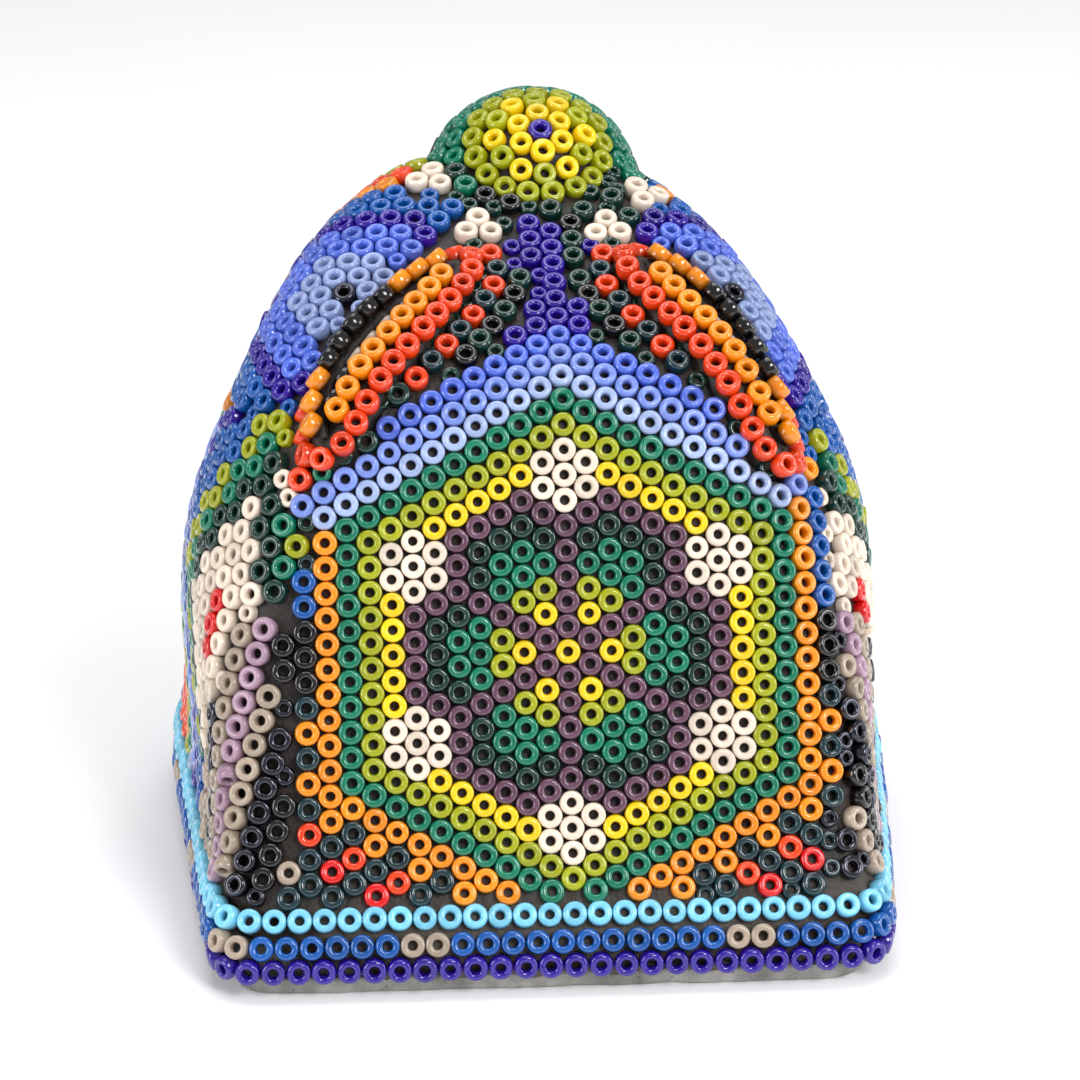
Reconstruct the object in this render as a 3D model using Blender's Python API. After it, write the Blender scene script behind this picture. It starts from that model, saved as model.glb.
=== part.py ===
"""Seed-beaded animal head in the Huichol manner, resting on its flat-cut neck with the nose up.

A moulded grey core carries a coat of beeswax and pine resin. Seed beads are pressed into the wax, hole
outwards, in coloured fields. Each field of beads of one colour is one thin closed shell over the wax.
Lengths below are in millimetres and are scaled to metres when a mesh is made.
The head looks up (+Z), its crown faces -Y, and its own left side is at -X.
"""
import math

import bmesh
import bpy
import numpy as np
from mathutils import Vector
from mathutils.bvhtree import BVHTree

# ---- driving dimensions ------------------------------------------------------------------------------

MM = 0.001
PITCH = 2.2             # spacing of 11/0 seed beads laid side by side
BEAD_LENGTH = 1.45      # how far a bead stands out of the wax
GAP = 0.3               # clearance kept between pieces that touch
WAX = 0.9               # thickness of the wax coat
CENTRE = Vector((0.0, 0.0, 28.0))
SWAY, LEAN = -2.35, -0.02   # the hand-moulded head stands off to its left, and leans
ROUNDING = 1.5          # softness of the edges between the facets
FLARE, FLARE_Z, FLARE_SPREAD = 1.8, 4.0, 4.65    # the base swells a little above its foot
FOOT_Z = 0.9            # bare foot of the core, under the lowest row of beads
RIM_ROWS = (2.6, 4.4, 6.4, 8.4)     # heights between the three rows round the base

# Facets of the wax surface: azimuth from the crown, elevation, distance from CENTRE, on both sides or not
FACETS = (
    (0, 22, 18.9, False),       # crown
    (57, 25.2, 29.2, True),       # corners beside the crown
    (84, -0.6, 30.2, True),       # cheeks
    (100, 24, 29.1, True),      # upper cheeks
    (128, 3, 32.7, True),       # jaws
    (180, 2, 30.5, False),      # throat
    (0, 64, 23.6, False),       # forehead
    (51, 46.6, 29.3, True),       # eyes
    (114, 46, 33.7, True),      # muzzle sides
    (180, 68, 36.8, False),     # muzzle top
    (180, 35, 34.5, False),     # chin
    (0, -90, 29.5, False),      # underside, which rounds the lower edge
)

NOSE_CENTRE = Vector((-0.9, 18.3, 56.6))
NOSE_RADIUS = 8.7
NOSE_BLEND = 1.2
NOSE_TILT = 54          # elevation of the nose's own axis, towards the crown

ROSETTE_Z = 27.3        # height of the middle of the crown's flower
EYE_AZ, EYE_EL, EYE_X, EYE_Y, EYE_Z = 51, 48, 17.4, -1.8, 53.4
EAR_CENTRE = Vector((14.75, -7.2, 50.4))
EAR_ALONG = Vector((0.562, -0.646, -0.517))     # from the forehead down and out
EAR_UP = Vector((0.50, -0.20, 0.84))          # the way the ear stands
EAR_HALF_LENGTH, EAR_HALF_WIDTH = 11.0, 1.9
EAR_WALL = 1.5
EAR_BACK_HEIGHT, EAR_FRONT_HEIGHT = 2.6, 1.5

SIDES = ((-1, "left"), (1, "right"))
RING_ANGLES = (6, 11, 14.5, 17.5, 22, 29, 37, 45, 53, 61, 69, 77, 85, 93, 101, 109, 116, 122, 127, 132, 139,
               155)
LEVEL_RING = 90         # rings are square to the nose near it, and level from this angle on
COLUMNS = 32
SNAP = 0.35             # a border between zones moves the corners of facets this near onto itself
SMALLEST_ZONE = 4.0     # square millimetres; a smaller zone is left out
FLAT_ENOUGH = math.radians(1.0)     # facets of a zone that bend less than this are merged

# ---- materials ---------------------------------------------------------------------------------------

COLOURS = {
    "cast_core": ((0.42, 0.41, 0.37), 0.90),
    "dark_wax": ((0.050, 0.028, 0.018), 0.55),
    "yellow_bead": ((0.95, 0.68, 0.01), 0.15),
    "olive_bead": ((0.37, 0.42, 0.01), 0.15),
    "teal_bead": ((0.01, 0.22, 0.13), 0.15),
    "dark_green_bead": ((0.01, 0.05, 0.04), 0.15),
    "purple_bead": ((0.15, 0.07, 0.11), 0.15),
    "ivory_bead": ((0.90, 0.78, 0.68), 0.25),
    "orange_bead": ((0.93, 0.30, 0.01), 0.15),
    "red_orange_bead": ((0.85, 0.08, 0.01), 0.15),
    "red_bead": ((0.78, 0.01, 0.01), 0.15),
    "lavender_bead": ((0.40, 0.50, 0.85), 0.15),
    "periwinkle_bead": ((0.09, 0.15, 0.66), 0.15),
    "ultramarine_bead": ((0.04, 0.01, 0.40), 0.15),
    "royal_blue_bead": ((0.01, 0.12, 0.45), 0.15),
    "sky_blue_bead": ((0.25, 0.70, 0.90), 0.15),
    "lilac_bead": ((0.42, 0.26, 0.36), 0.20),
    "black_bead": ((0.01, 0.01, 0.012), 0.10),
}


def make_material(name):
    """Principled material of one piece kind, made once and shared."""
    material = bpy.data.materials.get(name)
    if material is None:
        colour, roughness = COLOURS[name]
        material = bpy.data.materials.new(name)
        material.use_nodes = True
        shader = material.node_tree.nodes["Principled BSDF"]
        shader.inputs["Base Color"].default_value = (*colour, 1.0)
        shader.inputs["Roughness"].default_value = roughness
        material.diffuse_color = (*colour, 1.0)
    return material


# ---- the head's form ---------------------------------------------------------------------------------

def facing(azimuth, elevation):
    """Unit vector; azimuth 0 looks out of the crown (-Y) and turns towards +X."""
    a, e = math.radians(azimuth), math.radians(elevation)
    return Vector((math.sin(a) * math.cos(e), -math.cos(a) * math.cos(e), math.sin(e)))


def facet_planes():
    """Normals and distances of all the facets, the paired ones on both sides."""
    normals, distances = [], []
    for azimuth, elevation, distance, paired in FACETS:
        for side in ((1, -1) if paired else (1,)):
            normal = facing(side * azimuth, elevation)
            leaning = normal - Vector((0, 0, LEAN * normal.x))
            normals.append(leaning.normalized())
            distances.append((distance + normal.x * SWAY) / leaning.length)
    return np.array(normals), np.array(distances)


NORMALS, DISTANCES = facet_planes()


def skin_distance(points):
    """Signed distance, about, from the wax surface to each point of an (N, 3) array."""
    flat = (points - np.array(CENTRE)) @ NORMALS.T - DISTANCES
    highest = flat.max(axis=1)
    soft = ROUNDING * np.log(np.exp((flat - highest[:, None]) / ROUNDING).sum(axis=1))
    body = highest + soft - FLARE * np.exp(-((points[:, 2] - FLARE_Z) / FLARE_SPREAD) ** 2)
    nose = np.linalg.norm(points - np.array(NOSE_CENTRE), axis=1) - NOSE_RADIUS
    mix = np.clip(0.5 + 0.5 * (nose - body) / NOSE_BLEND, 0.0, 1.0)
    return nose * (1 - mix) + body * mix - NOSE_BLEND * mix * (1 - mix)


def hit_skin(origins, directions, level, reach=70.0, steps=140):
    """Outermost points at a level above the skin, on rays from origins along directions."""
    t = np.linspace(0.0, reach, steps)
    points = origins[:, None, :] + directions[:, None, :] * t[None, :, None]
    inside = skin_distance(points.reshape(-1, 3)).reshape(len(origins), steps) < level
    last = steps - 1 - np.argmax(inside[:, ::-1], axis=1)
    low, high = t[last], t[np.minimum(last + 1, steps - 1)]
    for _ in range(30):
        middle = (low + high) / 2
        deeper = skin_distance(origins + directions * middle[:, None]) < level
        low, high = np.where(deeper, middle, low), np.where(deeper, high, middle)
    return origins + directions * low[:, None]


# ---- mesh helpers ------------------------------------------------------------------------------------

def new_object(name, mesh, material, cutter=False):
    """Object in the scene; a cutter is only a guide."""
    item = bpy.data.objects.new(name, mesh)
    bpy.context.collection.objects.link(item)
    if cutter:
        item.hide_render = True
        item.display_type = "WIRE"
    else:
        mesh.materials.clear()
        mesh.materials.append(make_material(material))
    return item


def mesh_from(vertices, faces, name, turn_outwards=True):
    """Mesh in metres from vertices in millimetres, with its faces turned outwards unless they are already."""
    bm = bmesh.new()
    made = [bm.verts.new(Vector(v) * MM) for v in vertices]
    for face in faces:
        bm.faces.new([made[i] for i in face])
    if turn_outwards:
        bmesh.ops.recalc_face_normals(bm, faces=bm.faces)
    mesh = bpy.data.meshes.new(name)
    bm.to_mesh(mesh)
    bm.free()
    return mesh


def boolean(mesh, cutter, operation):
    """Mesh left when a cutter mesh is taken from, or kept with, a mesh."""
    item = new_object("work", mesh, None, cutter=True)
    tool = new_object("tool", cutter, None, cutter=True)
    modifier = item.modifiers.new("cut", "BOOLEAN")
    modifier.operation = operation
    modifier.solver = "EXACT"
    modifier.object = tool
    depsgraph = bpy.context.evaluated_depsgraph_get()
    result = bpy.data.meshes.new_from_object(item.evaluated_get(depsgraph))
    bpy.data.objects.remove(item)
    bpy.data.objects.remove(tool)
    return result


def head_directions():
    """Rays from CENTRE, in rings that go from the nose to the foot, and the facets that join them."""
    nose = (NOSE_CENTRE - CENTRE).normalized()
    top = Vector((0, 0, 1))
    right = Vector((1, 0, 0))
    directions = [nose]
    for angle in RING_ANGLES:
        a = math.radians(angle)
        share = min(max((angle - RING_ANGLES[4]) / (LEVEL_RING - RING_ANGLES[4]), 0.0), 1.0)
        axis = nose.slerp(top, share)
        ahead = axis.cross(right)
        for column in range(COLUMNS):
            turn = 2 * math.pi * column / COLUMNS
            sideways = right * math.cos(turn) + ahead * math.sin(turn)
            directions.append(axis * math.cos(a) + sideways * math.sin(a))
    directions.append(-top)
    facets = []
    last = len(directions) - 1
    for column in range(COLUMNS):
        following = (column + 1) % COLUMNS
        facets.append((0, 1 + column, 1 + following))
        for ring in range(len(RING_ANGLES) - 1):
            a, b = 1 + ring * COLUMNS, 1 + (ring + 1) * COLUMNS
            facets.append((a + column, b + column, b + following))
            facets.append((a + column, b + following, a + following))
        a = 1 + (len(RING_ANGLES) - 1) * COLUMNS
        facets.append((a + column, last, a + following))
    return np.array(directions), facets


DIRECTIONS, FACET_CORNERS = head_directions()


def head_points(level):
    """Corners of the faceted head at a level above the skin."""
    origins = np.repeat(np.array(CENTRE)[None, :], len(DIRECTIONS), axis=0)
    return [Vector(p) for p in hit_skin(origins, DIRECTIONS, level)]


def cut_flat(bm, height, sign):
    """Cut a head off at a height, keeping what is above (-1) or below (1) the cut; gives the new edges."""
    geometry = bm.verts[:] + bm.edges[:] + bm.faces[:]
    cut = bmesh.ops.bisect_plane(bm, geom=geometry, dist=1e-6, plane_co=(0, 0, height),
                                 plane_no=(0, 0, sign), clear_outer=True)
    return [e for e in cut["geom_cut"] if isinstance(e, bmesh.types.BMEdge)]


def head_solid(level, low, high=None):
    """Closed solid out to a level above the skin, cut flat at its foot and, if asked, at its head."""
    mesh = mesh_from(head_points(level), FACET_CORNERS, "head")
    bm = bmesh.new()
    bm.from_mesh(mesh)
    bmesh.ops.contextual_create(bm, geom=cut_flat(bm, low * MM, -1))
    if high is not None:
        bmesh.ops.contextual_create(bm, geom=cut_flat(bm, high * MM, 1))
    bmesh.ops.recalc_face_normals(bm, faces=bm.faces)
    bm.to_mesh(mesh)
    bm.free()
    return mesh


def chart(azimuth, elevation):
    """Axes of a flat chart that looks along a direction: right, up, outwards."""
    out = facing(azimuth, elevation)
    right = facing(azimuth + 90, 0)
    return right, out.cross(right), out


def hexagon(rings, centre=(0.0, 0.0)):
    """Outline of a hexagon of beads, points up and down, that reaches a number of rings."""
    radius = (rings + 0.5) * PITCH
    turns = [math.pi / 2 + i * math.pi / 3 for i in range(6)]
    return [(centre[0] + radius * math.cos(a), centre[1] + radius * math.sin(a)) for a in turns]


def ellipse(half_width, half_height, count=16):
    """Outline of a round zone."""
    turns = [2 * math.pi * (i + 0.5) / count for i in range(count)]
    return [(half_width * math.cos(a), half_height * math.sin(a)) for a in turns]


def diamond(width, height):
    """Outline of a diamond, given its half width and half height."""
    return [(width, 0), (0, height), (-width, 0), (0, -height)]


def rectangle(x0, x1, y0, y1):
    """Outline of a rectangle."""
    return [(x0, y0), (x1, y0), (x1, y1), (x0, y1)]


# ---- pieces ------------------------------------------------------------------------------------------

class BeadSkin:
    """A faceted sheet over the wax, shared out zone after zone; every zone becomes a thin closed shell."""

    def __init__(self):
        self.sheet = bmesh.new()
        corners = [self.sheet.verts.new(p) for p in head_points(0.0)]
        for facet in FACET_CORNERS:
            self.sheet.faces.new([corners[i] for i in facet])
        bmesh.ops.recalc_face_normals(self.sheet, faces=self.sheet.faces)
        cut_flat(self.sheet, RIM_ROWS[0], -1)
        self.owner = self.sheet.faces.layers.int.new("owner")
        self.chosen = self.sheet.faces.layers.int.new("chosen")
        self.count = 0
        self.zones = []
        self.surfaces = [BVHTree.FromPolygons(head_points(level), FACET_CORNERS)
                         for level in (GAP, GAP + BEAD_LENGTH)]

    def claim(self, planes, test):
        """Cut the free facets that pass a test by planes (point, outward normal); keep the part inside."""
        for face in self.sheet.faces:
            face[self.chosen] = int(face[self.owner] == 0 and test(face) and reaches(face, planes))
        for point, normal in planes:
            faces = [f for f in self.sheet.faces if f[self.chosen]]
            if not faces:
                break
            edges = list({e for f in faces for e in f.edges})
            corners = list({v for f in faces for v in f.verts})
            bmesh.ops.bisect_plane(self.sheet, geom=faces + edges + corners, dist=SNAP, plane_co=point,
                                   plane_no=normal, use_snap_center=True)
            for face in self.sheet.faces:
                if face[self.chosen] and (face.calc_center_median() - point).dot(normal) > 0:
                    face[self.chosen] = 0
        self.count += 1
        for face in self.sheet.faces:
            if face[self.chosen]:
                face[self.owner] = self.count
        return self.count

    def shell(self, name, material, owner):
        """Thin closed shell over the largest island of an owner's facets."""
        bm = self.sheet.copy()
        owners = bm.faces.layers.int["owner"]
        bmesh.ops.delete(bm, geom=[f for f in bm.faces if f[owners] != owner], context="FACES")
        part_pinches(bm)
        keep_largest_island(bm)
        if sum(f.calc_area() for f in bm.faces) < SMALLEST_ZONE:
            bm.free()
            return
        bmesh.ops.dissolve_limit(bm, angle_limit=FLAT_ENOUGH, use_dissolve_boundaries=False,
                                 verts=bm.verts, edges=bm.edges)
        bmesh.ops.triangulate(bm, faces=bm.faces)
        draw_in_borders(bm, GAP / 2)
        count = len(bm.verts)
        rays = [(v.co - CENTRE).normalized() for v in bm.verts]
        vertices = [cast(surface, ray) for surface in self.surfaces for ray in rays]
        faces = []
        for face in bm.faces:
            corners = [v.index for v in face.verts]
            faces.append([count + i for i in corners])
            faces.append(corners[::-1])
            for loop in face.loops:
                if loop.edge.is_boundary:
                    a, b = loop.vert.index, loop.link_loop_next.vert.index
                    faces.append([count + b, count + a, a])
                    faces.append([count + b, a, b])
        bm.free()
        new_object(name, mesh_from(vertices, faces, name, turn_outwards=False), material)

    def take(self, name, material, zone):
        """Claim a zone, given as its planes and its test, for one node."""
        self.zones.append((name, material, self.claim(*zone)))

    def make_shells(self):
        """Clear the slivers out of the sheet and make every zone's shell."""
        bmesh.ops.remove_doubles(self.sheet, verts=self.sheet.verts, dist=SNAP)
        for name, material, owner in self.zones:
            self.shell(name, material, owner)


def cast(surface, ray):
    """Where a ray from CENTRE meets a surface; a ray that slips through along an edge is nudged."""
    place = surface.ray_cast(CENTRE, ray)[0]
    nudge = 1e-5
    while place is None:
        place = surface.ray_cast(CENTRE, ray + Vector((nudge, -nudge, nudge / 2)))[0]
        nudge *= 2
    return place


def reaches(face, planes):
    """Whether a facet may lie partly inside all the planes."""
    return all(any((v.co - point).dot(normal) < 0 for v in face.verts) for point, normal in planes)


def part_pinches(bm):
    """Where a sheet touches itself at one corner only, delete the smaller side's facets there."""
    pinched = True
    while pinched:
        pinched = [v for v in bm.verts if sum(e.is_boundary for e in v.link_edges) > 2]
        if pinched:
            vertex = pinched[0]
            fan, queue = set(), [vertex.link_faces[0]]
            while queue:
                face = queue.pop()
                fan.add(face)
                queue += [f for e in face.edges if vertex in e.verts for f in e.link_faces if f not in fan]
            rest = set(vertex.link_faces) - fan
            smaller = min((fan, rest), key=lambda side: sum(f.calc_area() for f in side))
            bmesh.ops.delete(bm, geom=list(smaller), context="FACES")


def keep_largest_island(bm):
    """Delete all but the largest connected island of a sheet."""
    seen, islands = set(), []
    for start in bm.faces:
        if start in seen:
            continue
        island, queue = [], [start]
        seen.add(start)
        while queue:
            face = queue.pop()
            island.append(face)
            fresh = {f for edge in face.edges for f in edge.link_faces} - seen
            seen |= fresh
            queue += fresh
        islands.append(island)
    islands.sort(key=lambda island: sum(f.calc_area() for f in island))
    scraps = [face for island in islands[:-1] for face in island]
    bmesh.ops.delete(bm, geom=scraps, context="FACES")


def draw_in_borders(bm, distance):
    """Move the border of a sheet inwards, in the sheet."""
    moves = {}
    for edge in bm.edges:
        if not edge.is_boundary:
            continue
        face = edge.link_faces[0]
        along = (edge.verts[1].co - edge.verts[0].co).normalized()
        inward = face.normal.cross(along)
        if inward.dot(face.calc_center_median() - edge.verts[0].co) < 0:
            inward = -inward
        for vertex in edge.verts:
            moves.setdefault(vertex, []).append(inward)
    for vertex, ways in moves.items():
        total = sum(ways, Vector())
        if total.length > 0.3:
            way = total.normalized()
            vertex.co += way * min(distance / max(way.dot(ways[0]), 0.5), 2 * distance)
    bm.verts.index_update()


def slab(low, high):
    """Zone of a level layer of the head."""
    planes = [(Vector((0, 0, high)), Vector((0, 0, 1))), (Vector((0, 0, low)), Vector((0, 0, -1)))]
    return planes, lambda face: True


def patch(origin, axes, outline, inward=14.0, outward=12.0):
    """Zone with a convex outline in a chart; only facets that look its way take part."""
    right, up, out = axes
    corners = [origin + right * x + up * y for x, y in outline]
    middle = sum(corners, Vector()) / len(corners)
    planes = []
    for index, corner in enumerate(corners):
        normal = (corners[(index + 1) % len(corners)] - corner).cross(out).normalized()
        if normal.dot(corner - middle) < 0:
            normal = -normal
        planes.append((corner, normal))

    def test(face):
        depth = (face.calc_center_median() - origin).dot(out)
        return face.normal.dot(out) > 0.05 and -inward < depth < outward
    return planes, test


def rosette_origin():
    """Point of the crown in the middle of its flower."""
    start = np.array([[0.0, 0.0, ROSETTE_Z]])
    return Vector(hit_skin(start, np.array([[0.0, -1.0, 0.0]]), 0.0)[0])


CROWN = chart(0, 22)


def crown_zone(outline, inward=24.0):
    """Zone drawn in the crown's own chart, with the middle of the flower at its origin."""
    return patch(rosette_origin(), CROWN, outline, inward)


def make_core():
    """Moulded core: the head's mass under the wax, with a bare foot that stands out to the beads."""
    mass = head_solid(-WAX - GAP, 0.0)
    foot = head_solid(2 * GAP, 0.0, FOOT_Z)
    new_object("cast_core", boolean(mass, foot, "UNION"), "cast_core")


def make_wax():
    """Coat of wax over the core, open underneath."""
    coat = boolean(head_solid(0.0, FOOT_Z + GAP), head_solid(-WAX, FOOT_Z - 1.0), "DIFFERENCE")
    new_object("wax_coat", coat, "dark_wax")


def make_rim(skin):
    """Three rows of beads round the base."""
    names = (("rim_row_lower", "ultramarine_bead"), ("rim_row_middle", "royal_blue_bead"),
             ("rim_row_upper", "sky_blue_bead"))
    for index, (name, material) in enumerate(names):
        skin.take(name, material, slab(RIM_ROWS[index], RIM_ROWS[index + 1]))


def make_crown(skin):
    """The flower of the crown: six ivory tufts, nested hexagons of beads, and the arches over it."""
    for i in range(6):
        a = math.pi / 2 + i * math.pi / 3
        outline = hexagon(1, (7 * PITCH * math.cos(a), 7 * PITCH * math.sin(a)))
        skin.take(f"flower_ivory_tuft_{i + 1}", "ivory_bead", crown_zone(outline))
    nested = ((2, "flower_heart", "yellow_bead"), (4, "flower_petals", "teal_bead"),
              (7, "flower_outline", "purple_bead"), (9, "flower_gold_border", "yellow_bead"),
              (10, "flower_teal_border", "teal_bead"))
    for rings, name, material in nested:
        skin.take(name, material, crown_zone(hexagon(rings)))
    arches = ((11, "arch_lavender", "lavender_bead"), (13, "arch_periwinkle", "periwinkle_bead"))
    for rings, name, material in arches:
        points = hexagon(rings)
        skin.take(name, material, crown_zone([(0, 2), points[5], points[0], points[1]]))
    skin.take("crown_orange_border", "orange_bead", crown_zone(hexagon(11)))


def make_corners(skin):
    """Rays in the crown's lower corners, and the banded corners beside them."""
    bottom, bend, top = -26.0, 3.0, 9.0
    high, low = 21.9, 29.5      # half widths of the crown above its bend and at its foot
    bands = (("corner_rays", "orange_bead", 0.0), ("hematite_band", "black_bead", 2.2),
             ("lilac_band", "lilac_bead", 5.2))
    for side, name in SIDES:
        for band, material, width in bands:
            head = top if width == 0.0 else bend
            foot_x = side * (low + width) + SWAY / 2
            bend_x = side * (high + width * 0.8) + SWAY / 2
            outline = [(0, bottom), (foot_x, bottom), (bend_x, bend), (bend_x, head), (0, head)]
            if width:
                outline.pop(3)
            skin.take(name + "_" + band, material, crown_zone(outline))


def make_forehead(skin):
    """Blue stripe up to the nose, and the dark field on both sides of it."""
    skin.take("forehead_stripe", "ultramarine_bead", crown_zone(rectangle(-3.4, 3.4, 20, 41), 32.0))
    for side, name in SIDES:
        field = rectangle(min(0, side * 8.0), max(0, side * 8.0), 20, 41)
        skin.take(name + "_forehead_field", "dark_green_bead", crown_zone(field, 32.0))


def make_nose(skin):
    """Nose knob: a round field of yellow and olive beads inside a teal ring and a dark collar."""
    zones = ((6.6, "nose_middle", "yellow_bead"), (8.4, "nose_teal_ring", "teal_bead"),
             (10.6, "nose_collar", "dark_green_bead"))
    middle, axes = NOSE_CENTRE + Vector((0.9, 0, 0)), chart(0, NOSE_TILT)
    for radius, name, material in zones:
        skin.take(name, material, patch(middle, axes, ellipse(radius, radius), 5.0, 16.0))


def make_eyes(skin):
    """Round eyes: pale middle, periwinkle ring and violet ring."""
    zones = ((4.4, "eye_pale_ring", "lavender_bead"), (7.6, "eye_blue_ring", "periwinkle_bead"),
             (10.2, "eye_violet_ring", "ultramarine_bead"))
    for side, name in SIDES:
        origin = Vector((side * EYE_X + SWAY / 2, EYE_Y, EYE_Z))
        for radius, zone, material in zones:
            shape = patch(origin, chart(side * EYE_AZ, EYE_EL), ellipse(radius, radius))
            skin.take(name + "_" + zone, material, shape)


def make_cheeks(skin):
    """Cheek panels: a red heart in an ivory diamond, in a dark frame and an olive frame."""
    zones = ((2.6, 2.6, "cheek_red_heart", "red_bead"), (8.0, 12.8, "cheek_ivory_diamond", "ivory_bead"),
             (11.6, 17.4, "cheek_green_frame", "teal_bead"), (14.2, 20.5, "cheek_olive_frame", "olive_bead"))
    for side, name in SIDES:
        origin = Vector((side * 31.0, -13.5, 27.4))
        for width, height, zone, material in zones:
            shape = patch(origin, chart(side * 90, 0), diamond(width, height))
            skin.take(name + "_" + zone, material, shape)


def make_throat(skin):
    """The far side: a flower on the throat, the lips above it, and the chin."""
    zones = ((3, "throat_flower_heart", "red_orange_bead"), (5, "throat_flower_petals", "yellow_bead"),
             (7, "throat_flower_border", "teal_bead"))
    for rings, name, material in zones:
        skin.take(name, material, patch(Vector((0, 31.0, 27.0)), chart(180, 6), hexagon(rings)))
    lips = patch(Vector((0, 33.0, 51.0)), chart(180, 20), rectangle(-15, 15, -2.3, 2.3), 18)
    skin.take("lips", "red_bead", lips)


def make_fill(skin):
    """What is left of the bead skin, parted into the temples and the jaws."""
    middle, ear_line = Vector((0, 0, 0)), Vector((0, 14, 0))
    for side, name in SIDES:
        inner = (middle, Vector((-side, 0, 0)))
        skin.take(name + "_temple_field", "royal_blue_bead",
                  ([inner, (ear_line, Vector((0, 1, 0)))], lambda face: True))
        skin.take(name + "_jaw_field", "periwinkle_bead", ([inner], lambda face: True))


# ---- ears --------------------------------------------------------------------------------------------

def ear_frame(side):
    """Origin and axes of an ear on one side: along it, across it towards the eye, and up."""
    mirror = Vector((side, 1, 1))
    centre = EAR_CENTRE * mirror + Vector((SWAY / 6, 0, 0))
    up = (EAR_UP * mirror).normalized()
    along = EAR_ALONG * mirror
    along = (along - up * along.dot(up)).normalized()
    across = up.cross(along) * side
    return centre, along, across, up


def ear_loop(offset, count):
    """Leaf-shaped loop in the ear's own plane, offset outwards; also how much each point is at the back."""
    points = []
    for i in range(count):
        turn = 2 * math.pi * i / count
        x = (EAR_HALF_LENGTH + offset) * math.cos(turn)
        y = (EAR_HALF_WIDTH + offset) * math.sin(turn)
        points.append((x, y, 0.5 - 0.5 * math.sin(turn)))
    return points


def ear_wall(name, material, side, offsets, foot, head, count=16):
    """Closed band that follows the ear's loop between two offsets, from a foot to a head above the skin."""
    centre, along, across, up = ear_frame(side)
    sections = []
    for offset in offsets:
        loop = ear_loop(offset, count)
        origins = np.array([centre + along * x + across * y - up * 12 for x, y, _ in loop])
        ways = np.repeat(np.array(up)[None, :], count, axis=0)
        base = [Vector(p) for p in hit_skin(origins, ways, 0.0, reach=30.0)]
        sections.append((base, [back for _, _, back in loop]))
    rows = []
    for base, back in sections:
        rows.append([b + up * foot(k) for b, k in zip(base, back)])
    for base, back in reversed(sections):
        rows.append([b + up * head(k) for b, k in zip(base, back)])
    vertices = [v for row in rows for v in row]
    faces = []
    for r in range(4):
        for i in range(count):
            j, s = (i + 1) % count, (r + 1) % 4
            faces.append((r * count + i, r * count + j, s * count + j, s * count + i))
    new_object(name, mesh_from(vertices, faces, name), material)


def ear_height(back):
    """Height of the ear's wall above the skin; the back wall is the tall one."""
    return EAR_FRONT_HEIGHT + (EAR_BACK_HEIGHT - EAR_FRONT_HEIGHT) * back ** 0.7


def make_ear(side, name):
    """One ear: a wall of wax round a long cup, faced with rows of beads outside and a row on its rim."""
    half = EAR_WALL / 2
    ear_wall(name + "_ear_cup", "dark_wax", side, (-half, half), lambda back: 2 * GAP, ear_height)
    ear_wall(name + "_ear_outer_beads", "red_orange_bead", side, (half + GAP, half + GAP + 1.3),
             lambda back: 2 * GAP, lambda back: ear_height(back) - 0.2)
    ear_wall(name + "_ear_rim_beads", "orange_bead", side, (-half, half),
             lambda back: ear_height(back) + GAP, lambda back: ear_height(back) + GAP + 1.4)


def ear_clearance(side):
    """Zone of the bead skin that an ear stands on."""
    centre, along, across, up = ear_frame(side)
    outline = [(x, y) for x, y, _ in ear_loop(EAR_WALL / 2 + 1.3 + 3 * GAP, 20)]
    return patch(centre, (along, across, up), outline, 12, 14)


# ---- assembly ----------------------------------------------------------------------------------------

def main():
    for item in list(bpy.data.objects):
        bpy.data.objects.remove(item, do_unlink=True)
    make_core()
    make_wax()
    skin = BeadSkin()
    make_rim(skin)
    for side in (-1, 1):
        skin.claim(*ear_clearance(side))
    for side, name in SIDES:
        make_ear(side, name)
    make_nose(skin)
    make_crown(skin)
    make_forehead(skin)
    make_corners(skin)
    make_eyes(skin)
    make_cheeks(skin)
    make_throat(skin)
    make_fill(skin)
    skin.make_shells()


main()
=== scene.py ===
"""Looks of the seed-beaded animal head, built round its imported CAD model.

Every seed bead is set one by one on the wax, hole outwards, in the rows and flowers of the real piece. The
beads are grouped by the CAD field that they lie in, and each group stands for that field's shell.
Lengths are in millimetres and are scaled to metres when a mesh is made.
"""

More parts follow.
